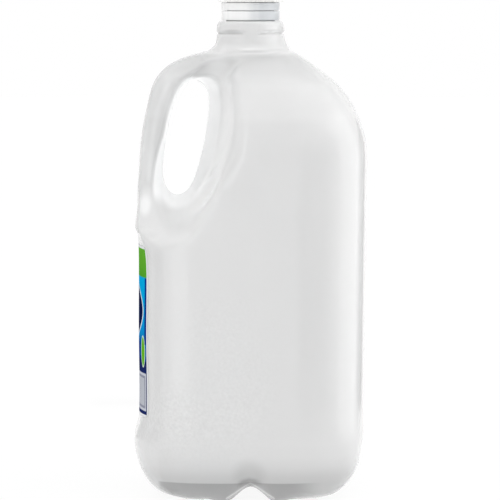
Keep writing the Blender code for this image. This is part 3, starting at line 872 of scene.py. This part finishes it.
def shape_neck(mesh):
    """Two lugs round the top of the neck, with a flat between them at front and back, and a groove."""
    for vert in mesh.vertices:
        place = vert.co
        if place.z < NECK_GROOVE_Z - NECK_GROOVE_REACH or place.z > NECK_SHOULDER_Z + LUG_REACH:
            continue
        radius = math.hypot(place.x, place.y)
        turn = math.degrees(math.acos(min(1.0, abs(place.y) / radius)))
        beside = smooth(turn, LUG_START, LUG_START + LUG_SLOPE)
        height = smooth(place.z, LUG_BOTTOM - LUG_EDGE, LUG_BOTTOM)
        height *= 1.0 - smooth(place.z, NECK_SHOULDER_Z, NECK_SHOULDER_Z + LUG_REACH)
        below = 1.0 - smooth(abs(place.z - LUG_BOTTOM + 2.0 * LUG_EDGE), 0.0, LUG_EDGE)
        groove = 1.0 - smooth(abs(place.z - NECK_GROOVE_Z), 0.0, NECK_GROOVE_REACH)
        change = beside * (LUG_HEIGHT * height - LUG_UNDERCUT * below) - NECK_GROOVE_DEPTH * groove
        vert.co.x += place.x / radius * change
        vert.co.y += place.y / radius * change
    mesh.update()


def painted_glow(place):
    """Painted glow: emission on the handle's lips, weaker to the right and below, and in spots, that
    stands in for light.
    """
    _, direction = beside_hole(place)
    inside, _ = lip_and_crease(place)
    less = LIP_GLOW_LESS_RIGHT * max(0.0, direction.x) + LIP_GLOW_LESS_BELOW * max(0.0, -direction.y)
    glow = PAINTED_LIP_GLOW * (1.0 - less) * inside
    for centre, half_size, strength in PAINTED_GLOW_SPOTS:
        glow = max(glow, strength * spot(place, centre, half_size))
    return glow


def make_jug(surface):
    """The jug's shell, with its painted light and shade and its painted glow kept at each point of the
    surface.
    """
    painted_light_values = surface.attributes.new("tone", "FLOAT", "POINT")
    painted_glows = surface.attributes.new("glow", "FLOAT", "POINT")
    for index, vert in enumerate(surface.vertices):
        painted_light_values.data[index].value = painted_light_and_shade(vert.co)
        painted_glows.data[index].value = painted_glow(vert.co)
    jug = add_piece("jug_shell", surface, jug_material(), "jug")
    thicken(jug, WALL, -1.0)


def nodes_of(name, **values):
    """A new material, its node tree and its shader, with the values of the shader's own inputs."""
    material = bpy.data.materials.new(name)
    material.use_nodes = True
    tree = material.node_tree
    shader = tree.nodes["Principled BSDF"]
    for key, value in values.items():
        shader.inputs[key.replace("_", " ")].default_value = value
    return material, tree, shader


def node(tree, kind, **values):
    """A new node with named properties, or with named inputs where it has no such property."""
    made = tree.nodes.new(kind)
    for key, value in values.items():
        if hasattr(made, key):
            setattr(made, key, value)
        else:
            made.inputs[key.replace("_", " ")].default_value = value
    return made


def position(tree):
    """Object coordinates, which are metres in the row's frame."""
    return node(tree, "ShaderNodeTexCoord").outputs["Object"]


def axes(tree):
    """Object coordinates as three sockets."""
    split = node(tree, "ShaderNodeSeparateXYZ")
    tree.links.new(position(tree), split.inputs["Vector"])
    return split.outputs["X"], split.outputs["Y"], split.outputs["Z"]


def attribute(tree, name):
    """A value kept at each point of the surface."""
    return node(tree, "ShaderNodeAttribute", attribute_name=name).outputs["Fac"]


def bump(tree, height, strength, distance):
    """A normal tilted by low relief."""
    made = node(tree, "ShaderNodeBump", Strength=strength, Distance=distance)
    tree.links.new(height, made.inputs["Height"])
    return made.outputs["Normal"]


def noise(tree, scale, detail):
    """Smooth noise over the object."""
    made = node(tree, "ShaderNodeTexNoise", Scale=scale, Detail=detail)
    tree.links.new(position(tree), made.inputs["Vector"])
    return made.outputs["Fac"]


def ramp(tree, factor, stops):
    """A colour ramp from (position, colour) stops."""
    made = node(tree, "ShaderNodeValToRGB")
    elements = made.color_ramp.elements
    while len(elements) < len(stops):
        elements.new(0.5)
    for element, (stop, colour) in zip(elements, stops):
        element.position = stop
        element.color = (*colour, 1.0)
    tree.links.new(factor, made.inputs["Fac"])
    return made.outputs["Color"]


def maths(tree, operation, first, second=0.0):
    """A sum of two values, each a number or a socket."""
    made = node(tree, "ShaderNodeMath", operation=operation)
    for socket, value in zip(made.inputs, (first, second)):
        if isinstance(value, float):
            socket.default_value = value
        else:
            tree.links.new(value, socket)
    return made.outputs["Value"]


def product(tree, first, *others):
    """Several values multiplied together."""
    for other in others:
        first = maths(tree, "MULTIPLY", first, other)
    return first


def between(tree, value, start, end):
    """0 where a socket is at the start, 1 at the end, and soft between."""
    made = node(tree, "ShaderNodeMapRange", interpolation_type="SMOOTHSTEP", From_Min=start, From_Max=end)
    tree.links.new(value, made.inputs["Value"])
    return made.outputs["Result"]


def mix(tree, share, low, high, blend="MIX"):
    """A mix of two colours, each a tuple or a socket."""
    made = node(tree, "ShaderNodeMix", data_type="RGBA", blend_type=blend)
    for name, value in (("Factor_Float", share), ("A_Color", low), ("B_Color", high)):
        socket = next(each for each in made.inputs if each.identifier == name)
        if isinstance(value, float):
            socket.default_value = value
        elif isinstance(value, tuple):
            socket.default_value = (*value, 1.0)
        else:
            tree.links.new(value, socket)
    return next(each for each in made.outputs if each.identifier == "Result_Color")


def grey(tone):
    return tone, tone, tone


def uneven_gloss(tree, shader, scale, low, high):
    """Roughness that wanders between two values over the surface."""
    gloss = node(tree, "ShaderNodeMapRange", To_Min=low, To_Max=high)
    tree.links.new(noise(tree, scale, 2.0), gloss.inputs["Value"])
    tree.links.new(gloss.outputs["Result"], shader.inputs["Roughness"])


def painted_shading(tree, x, z):
    """Painted light and shade: by height, a dark band in the base, and a strip, dark rim and paler line
    at the notch.
    """
    height = maths(tree, "DIVIDE", z, TONE_TOP)
    shade = ramp(tree, height, [(level * MM / TONE_TOP, grey(tone)) for level, tone in PAINTED_LIGHT_AND_SHADE_BY_HEIGHT_MM])
    ends = product(
        tree,
        between(tree, x, BASE_BAND_LEFT, BASE_BAND_LEFT + BASE_BAND_LEFT_FADE),
        between(tree, x, BASE_BAND_RIGHT, BASE_BAND_RIGHT - BASE_BAND_RIGHT_FADE),
    )
    band = product(
        tree,
        between(tree, z, BASE_BAND_TOP, BASE_BAND_TOP - BASE_BAND_EDGE),
        between(tree, z, BASE_BAND_BOTTOM - BASE_BAND_EDGE, BASE_BAND_BOTTOM),
        ends,
    )
    shade = mix(tree, band, shade, grey(BASE_BAND_PAINTED_SHADE))
    beside = maths(tree, "ABSOLUTE", maths(tree, "SUBTRACT", x, NOTCH_X))
    edge = maths(tree, "SUBTRACT", NOTCH_TOP, maths(tree, "MULTIPLY", beside, NOTCH_SLOPE))
    above = maths(tree, "SUBTRACT", z, edge)
    off_line = maths(tree, "ABSOLUTE", maths(tree, "SUBTRACT", above, NOTCH_LINE))
    near = between(tree, beside, NOTCH_HALF, NOTCH_HALF - NOTCH_RIM)
    for part, tone in (
        (between(tree, above, NOTCH_STRIP + NOTCH_RIM, NOTCH_STRIP), NOTCH_STRIP_PAINTED_SHADE),
        (between(tree, off_line, NOTCH_LINE_HALF, 0.0), NOTCH_LINE_PAINTED_LIGHT),
        (between(tree, above, 2.0 * NOTCH_RIM, NOTCH_RIM), NOTCH_RIM_PAINTED_SHADE),
    ):
        shade = mix(tree, product(tree, near, part), shade, grey(tone))
    return shade


def orange_peel(tree, x, z):
    """The peel's fine grain, and its strength: most at the left and at middle height."""
    grain = noise(tree, PEEL_SCALE, 1.0)
    share = product(
        tree,
        between(tree, noise(tree, PEEL_PATCH_SCALE, 1.0), *PEEL_PATCHES),
        between(tree, x, *PEEL_FROM_RIGHT),
        between(tree, z, *PEEL_FROM_ABOVE),
        between(tree, z, *PEEL_FROM_BELOW),
    )
    return grain, share


def jug_material():
    """Milky plastic with a thin gloss, painted light and shade, a painted glow, the orange peel and the
    parting line.
    """
    material, tree, shader = nodes_of(
        "milky_polyethylene",
        Emission_Color=WHITE,
        IOR=PLASTIC_IOR,
        Specular_IOR_Level=0.9,
        Coat_Weight=0.5,
        Coat_Roughness=0.12,
        Transmission_Weight=0.1,
        Subsurface_Weight=0.8,
        Subsurface_Radius=(1.0, 1.0, 1.0),
        Subsurface_Scale=3.0 * MM,
    )
    x, y, z = axes(tree)
    clouds = ramp(tree, noise(tree, PLASTIC_CLOUD_SCALE, 2.0), PLASTIC_CLOUDS)
    # Painted light and shade: by height, in the base, at the notch, and the tone kept at each point
    shade = mix(tree, 1.0, painted_shading(tree, x, z), attribute(tree, "tone"), "MULTIPLY")
    grain, peeled = orange_peel(tree, x, z)
    # Painted shade: the peel's grain darkens the colour
    peel_painted_shade = maths(tree, "SUBTRACT", PEEL_MEAN, grain)
    peel_painted_shade = maths(tree, "MULTIPLY", peel_painted_shade, maths(tree, "MULTIPLY", peeled, PEEL_SHADE))
    shade = mix(tree, 1.0, shade, maths(tree, "SUBTRACT", 1.0, peel_painted_shade), "MULTIPLY")
    tree.links.new(mix(tree, 1.0, clouds, shade, "MULTIPLY"), shader.inputs["Base Color"])
    # Painted glow: emission kept at each point of the surface
    tree.links.new(attribute(tree, "glow"), shader.inputs["Emission Strength"])
    uneven_gloss(tree, shader, PLASTIC_GLOSS_SCALE, *PLASTIC_GLOSS)
    seam = between(tree, maths(tree, "ABSOLUTE", y), SEAM_HALF, 0.0)
    seam = maths(tree, "MULTIPLY", seam, SEAM_HEIGHT / PEEL_HEIGHT)
    relief = maths(tree, "ADD", product(tree, grain, peeled), seam)
    normal = bump(tree, relief, PEEL_STRENGTH, PEEL_HEIGHT)
    tree.links.new(normal, shader.inputs["Normal"])
    tree.links.new(normal, shader.inputs["Coat Normal"])
    return material


def water_material():
    material, _, _ = nodes_of(
        "clear_water",
        Base_Color=(0.93, 0.965, 0.975, 1.0),
        Roughness=0.0,
        IOR=1.333,
        Transmission_Weight=1.0,
    )
    return material


def oval(tree, across, up, centre, half_size):
    """1 inside an oval of the label, and 0 outside it."""
    side = maths(tree, "DIVIDE", maths(tree, "SUBTRACT", across, centre[0]), half_size[0])
    rise = maths(tree, "DIVIDE", maths(tree, "SUBTRACT", up, centre[1]), half_size[1])
    away = maths(tree, "ADD", product(tree, side, side), product(tree, rise, rise))
    return maths(tree, "LESS_THAN", away, 1.0)


def block(tree, across, up, low, high):
    """1 inside an upright rectangle of the label, and 0 outside it."""
    return product(
        tree,
        maths(tree, "GREATER_THAN", across, low[0]),
        maths(tree, "LESS_THAN", across, high[0]),
        maths(tree, "GREATER_THAN", up, low[1]),
        maths(tree, "LESS_THAN", up, high[1]),
    )


def label_material():
    """Plain fields and shapes in the label's colours, the same to the left and right of its middle."""
    material, tree, shader = nodes_of("printed_film", Specular_IOR_Level=0.0)
    _, y, z = axes(tree)
    across = maths(tree, "ABSOLUTE", y)
    height = node(tree, "ShaderNodeMapRange", From_Min=LABEL_LOW.z, From_Max=LABEL_HIGH.z)
    tree.links.new(z, height.inputs["Value"])
    tall = LABEL_HIGH.z - LABEL_LOW.z
    stops = [((level * MM - LABEL_LOW.z) / tall, tint) for level, tint in LABEL_FIELDS_MM]
    sky = ramp(tree, height.outputs["Result"], stops)
    clouds = between(tree, noise(tree, LABEL_CLOUD_SCALE, 4.0), *LABEL_CLOUD_RANGE)
    clouds = product(tree, clouds, maths(tree, "LESS_THAN", z, LABEL_SKY_TOP), LABEL_CLOUD_SHARE)
    picture = mix(tree, clouds, sky, LABEL_CLOUD)
    below = maths(tree, "LESS_THAN", z, LABEL_NAVY_TOP)
    picture = mix(tree, below, picture, LABEL_NAVY)
    for centre, half_size, tint in LABEL_OVALS:
        picture = mix(tree, oval(tree, across, z, centre, half_size), picture, tint)
    for low, high, tint in LABEL_BLOCKS:
        picture = mix(tree, block(tree, across, z, low, high), picture, tint)
    edge = (LABEL_HIGH.y - LABEL_BORDER, LABEL_HIGH.z - LABEL_BORDER)
    inside = block(tree, across, z, (-1.0, LABEL_LOW.z + LABEL_BORDER), edge)
    picture = mix(tree, inside, LABEL_WHITE, picture)
    tree.links.new(picture, shader.inputs["Base Color"])
    uneven_gloss(tree, shader, LABEL_GLOSS_SCALE, *LABEL_GLOSS)
    wrinkles = bump(tree, noise(tree, WRINKLE_SCALE, 2.0), WRINKLE_STRENGTH, WRINKLE_HEIGHT)
    tree.links.new(wrinkles, shader.inputs["Normal"])
    return material


def closure_material(name, pale, shaded, roughness):
    """Thin moulded plastic with painted light and shade in soft upright streaks, and painted shade that
    makes it cooler and a little darker towards +X.
    """
    material, tree, shader = nodes_of(
        name,
        Roughness=roughness,
        IOR=PLASTIC_IOR,
        Subsurface_Weight=0.8,
        Subsurface_Radius=(1.0, 1.0, 1.0),
        Subsurface_Scale=2.0 * MM,
    )
    stretch = node(tree, "ShaderNodeMapping", Scale=(1.0, 1.0, STREAK_STRETCH))
    tree.links.new(position(tree), stretch.inputs["Vector"])
    painted_streaks = node(tree, "ShaderNodeTexNoise", Scale=STREAK_SCALE, Detail=2.0)
    tree.links.new(stretch.outputs["Vector"], painted_streaks.inputs["Vector"])
    x, _, _ = axes(tree)
    # Painted shade towards +X, and painted light and shade in the streaks
    share = maths(tree, "MULTIPLY", between(tree, x, -CLOSURE_SIDE, CLOSURE_SIDE), CLOSURE_SIDE_SHARE)
    share = maths(tree, "ADD", share, maths(tree, "MULTIPLY", painted_streaks.outputs["Fac"], STREAK_SHARE))
    share = maths(tree, "SUBTRACT", share, PALE_SHARE)
    tree.links.new(mix(tree, share, pale, shaded), shader.inputs["Base Color"])
    grain = noise(tree, CLOSURE_GRAIN_SCALE, 1.0)
    normal = bump(tree, grain, CLOSURE_GRAIN_STRENGTH, CLOSURE_GRAIN_HEIGHT)
    tree.links.new(normal, shader.inputs["Normal"])
    return material


def turned(name, profile, steps, radius_change=None):
    """A mesh turned about Z from the (radius, height) points of its closed section."""
    bm = bmesh.new()
    rings = []
    for step in range(steps):
        turn = math.tau * step / steps
        ring = []
        for radius, z in profile:
            if radius_change:
                radius = radius_change(radius, turn, z)
            ring.append(bm.verts.new((radius * math.cos(turn), radius * math.sin(turn), z)))
        rings.append(ring)
    for index, ring in enumerate(rings):
        beside = rings[(index + 1) % steps]
        for low in range(len(profile)):
            high = (low + 1) % len(profile)
            bm.faces.new((ring[low], beside[low], beside[high], ring[high]))
    bmesh.ops.recalc_face_normals(bm, faces=bm.faces)
    mesh = bpy.data.meshes.new(name)
    bm.to_mesh(mesh)
    bm.free()
    return mesh


def make_bands():
    material = closure_material("band_plastic", BAND_PALE, BAND_SHADED, BAND_ROUGHNESS)
    belly = BEVEL_BELLY * BAND_BEVEL
    for node_name, piece_name in (("collar_band", "neck_band"), ("tamper_band", "seal_band")):
        low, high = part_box(node_name)
        radius = high.x
        profile = (
            (CLOSURE_INSIDE, low.z),
            (radius - BAND_BEVEL, low.z),
            (radius - belly, low.z + belly),
            (radius, low.z + BAND_BEVEL),
            (radius, high.z - BAND_BEVEL),
            (radius - belly, high.z - belly),
            (radius - BAND_BEVEL, high.z),
            (CLOSURE_INSIDE, high.z),
        )
        band = add_piece(piece_name, turned(piece_name, profile, TURN_STEPS), material, node_name)
        band.data.set_sharp_from_angle(angle=math.radians(CLOSURE_SHARP_ANGLE))


def fluted(radius, turn, z):
    """Grips: fine upright grooves in the cap's drum."""
    if CAP_GRIP_BOTTOM < z < CAP_GRIP_TOP and radius > CAP_DRUM - CAP_GRIP_DEPTH:
        return radius - CAP_GRIP_DEPTH * (0.5 - 0.5 * math.cos(turn * CAP_GRIPS))
    return radius


def make_cap():
    """The cap: a drum with a flange at its foot and a dished lid, open at a pin hole on the axis."""
    low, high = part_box("cap")
    flange = high.x
    top = high.z
    side_top = top - CAP_EDGE
    profile = (
        (CLOSURE_INSIDE, low.z),
        (flange - CAP_FLANGE_BEVEL, low.z),
        (flange, low.z + CAP_FLANGE_BEVEL),
        (flange, low.z + CAP_FLANGE - CAP_FLANGE_BEVEL),
        (flange - CAP_FLANGE_BEVEL, low.z + CAP_FLANGE),
        (CAP_DRUM, low.z + CAP_FLANGE),
        (CAP_DRUM, CAP_GRIP_BOTTOM - CAP_GRIP_OUTSIDE),
        (CAP_DRUM, CAP_GRIP_BOTTOM + CAP_GRIP_INSIDE),
        (CAP_DRUM, CAP_GRIP_TOP - CAP_GRIP_INSIDE),
        (CAP_DRUM, CAP_GRIP_TOP + CAP_GRIP_OUTSIDE),
        (CAP_DRUM, side_top),
        (CAP_DRUM - 0.3 * CAP_EDGE, side_top + 0.7 * CAP_EDGE),
        (CAP_DRUM - CAP_EDGE, top - CAP_RIM_OUTER_DROP),
        (CAP_DRUM - 2.0 * CAP_EDGE, top - CAP_RIM_DROP),
        (CAP_DRUM - 2.4 * CAP_EDGE, top - CAP_DISH),
        (CAP_DRUM - 3.0 * CAP_EDGE, top - CAP_DISH),
        (CAP_MIDDLE_RADIUS, top - CAP_MIDDLE_DROP),
        (CAP_MIDDLE_RADIUS, top - CAP_LID),
        (CLOSURE_INSIDE, top - CAP_LID),
    )
    material = closure_material("cap_plastic", CAP_PALE, CAP_SHADED, CAP_ROUGHNESS)
    mesh = turned("screw_cap", profile, CAP_GRIPS * 4, fluted)
    cap = add_piece("screw_cap", mesh, material, "cap")
    mesh.set_sharp_from_angle(angle=math.radians(CLOSURE_SHARP_ANGLE))


def round_jug(azimuth, distance):
    """X and y at an azimuth from the front, in degrees, and a distance from the jug's axis."""
    turn = math.radians(azimuth)
    return distance * math.sin(turn), -distance * math.cos(turn)


def add_light(name, azimuth, distance, height, size, radiance):
    """A softbox that adds a radiance to the room's own."""
    data = bpy.data.lights.new(name, "AREA")
    data.shape = "RECTANGLE"
    data.size, data.size_y = size
    data.energy = radiance * math.pi * size[0] * size[1]
    light = bpy.data.objects.new(name, data)
    light.location = (*round_jug(azimuth, distance), height)
    tilt = 0.0 if height > CEILING_HEIGHT else math.pi / 2.0
    light.rotation_euler = (tilt, 0.0, math.radians(azimuth))
    light.visible_camera = False
    link(light)


def add_sheet(name, corners, material_name, tone, **values):
    """A flat matt sheet of the studio."""
    mesh = bpy.data.meshes.new(name)
    mesh.from_pydata(corners, [], [(0, 1, 2, 3)])
    sheet = bpy.data.objects.new(name, mesh)
    link(sheet)
    material, _, _ = nodes_of(
        material_name,
        Base_Color=(*grey(tone), 1.0),
        Roughness=MATT_ROUGHNESS,
        Specular_IOR_Level=0.0,
        **values,
    )
    mesh.materials.append(material)
    return sheet


def add_card(name, start, end, tone):
    """A grey card between two azimuths, which only the lights and reflections meet."""
    x0, y0 = round_jug(start, CARD_DISTANCE)
    x1, y1 = round_jug(end, CARD_DISTANCE)
    corners = [(x0, y0, 0.0), (x1, y1, 0.0), (x1, y1, CARD_TOP), (x0, y0, CARD_TOP)]
    card = add_sheet(name, corners, name, tone)
    card.visible_camera = False


def make_floor():
    size = FLOOR_HALF_SIZE
    corners = [(-size, -size, 0.0), (size, -size, 0.0), (size, size, 0.0), (-size, size, 0.0)]
    glow = {"Emission_Color": WHITE, "Emission_Strength": FLOOR_GLOW}
    floor = add_sheet("studio_floor", corners, "studio_white", FLOOR_GREY, **glow)
    floor.location.z = -FLOOR_DROP


def make_room():
    """White all round: as bright as the photograph's to the camera, and a little dimmer as a light."""
    world = bpy.data.worlds.new("studio_light")
    world.use_nodes = True
    bpy.context.scene.world = world
    tree = world.node_tree
    backdrop = tree.nodes["Background"]
    backdrop.inputs["Color"].default_value = WHITE
    rays = node(tree, "ShaderNodeLightPath")
    seen = node(tree, "ShaderNodeMapRange", To_Min=ROOM_LIGHT, To_Max=1.0)
    tree.links.new(rays.outputs["Is Camera Ray"], seen.inputs["Value"])
    tree.links.new(seen.outputs["Result"], backdrop.inputs["Strength"])


def make_studio():
    make_floor()
    make_room()
    for softbox in SOFTBOXES:
        add_light(*softbox)
    for card in CARDS:
        add_card(*card)
    bpy.context.scene.view_settings.view_transform = "Standard"


def make_camera():
    data = bpy.data.cameras.new("camera")
    camera = bpy.data.objects.new("camera", data)
    camera.location = (CAMERA_X, -CAMERA_DISTANCE, CAMERA_HEIGHT)
    look = Vector((CAMERA_X, 0.0, AIM_HEIGHT)) - camera.location
    camera.rotation_euler = look.to_track_quat("-Z", "Y").to_euler()
    data.sensor_width = SENSOR
    data.lens = SENSOR * look.length / (IMAGE_SIZE * METRES_PER_PIXEL)
    link(camera)
    bpy.context.scene.camera = camera


surface = fine_surface()
soften(surface)
shape_neck(surface)
make_water(surface)
make_label(surface)
make_jug(surface)
make_bands()
make_cap()
make_studio()
make_camera()
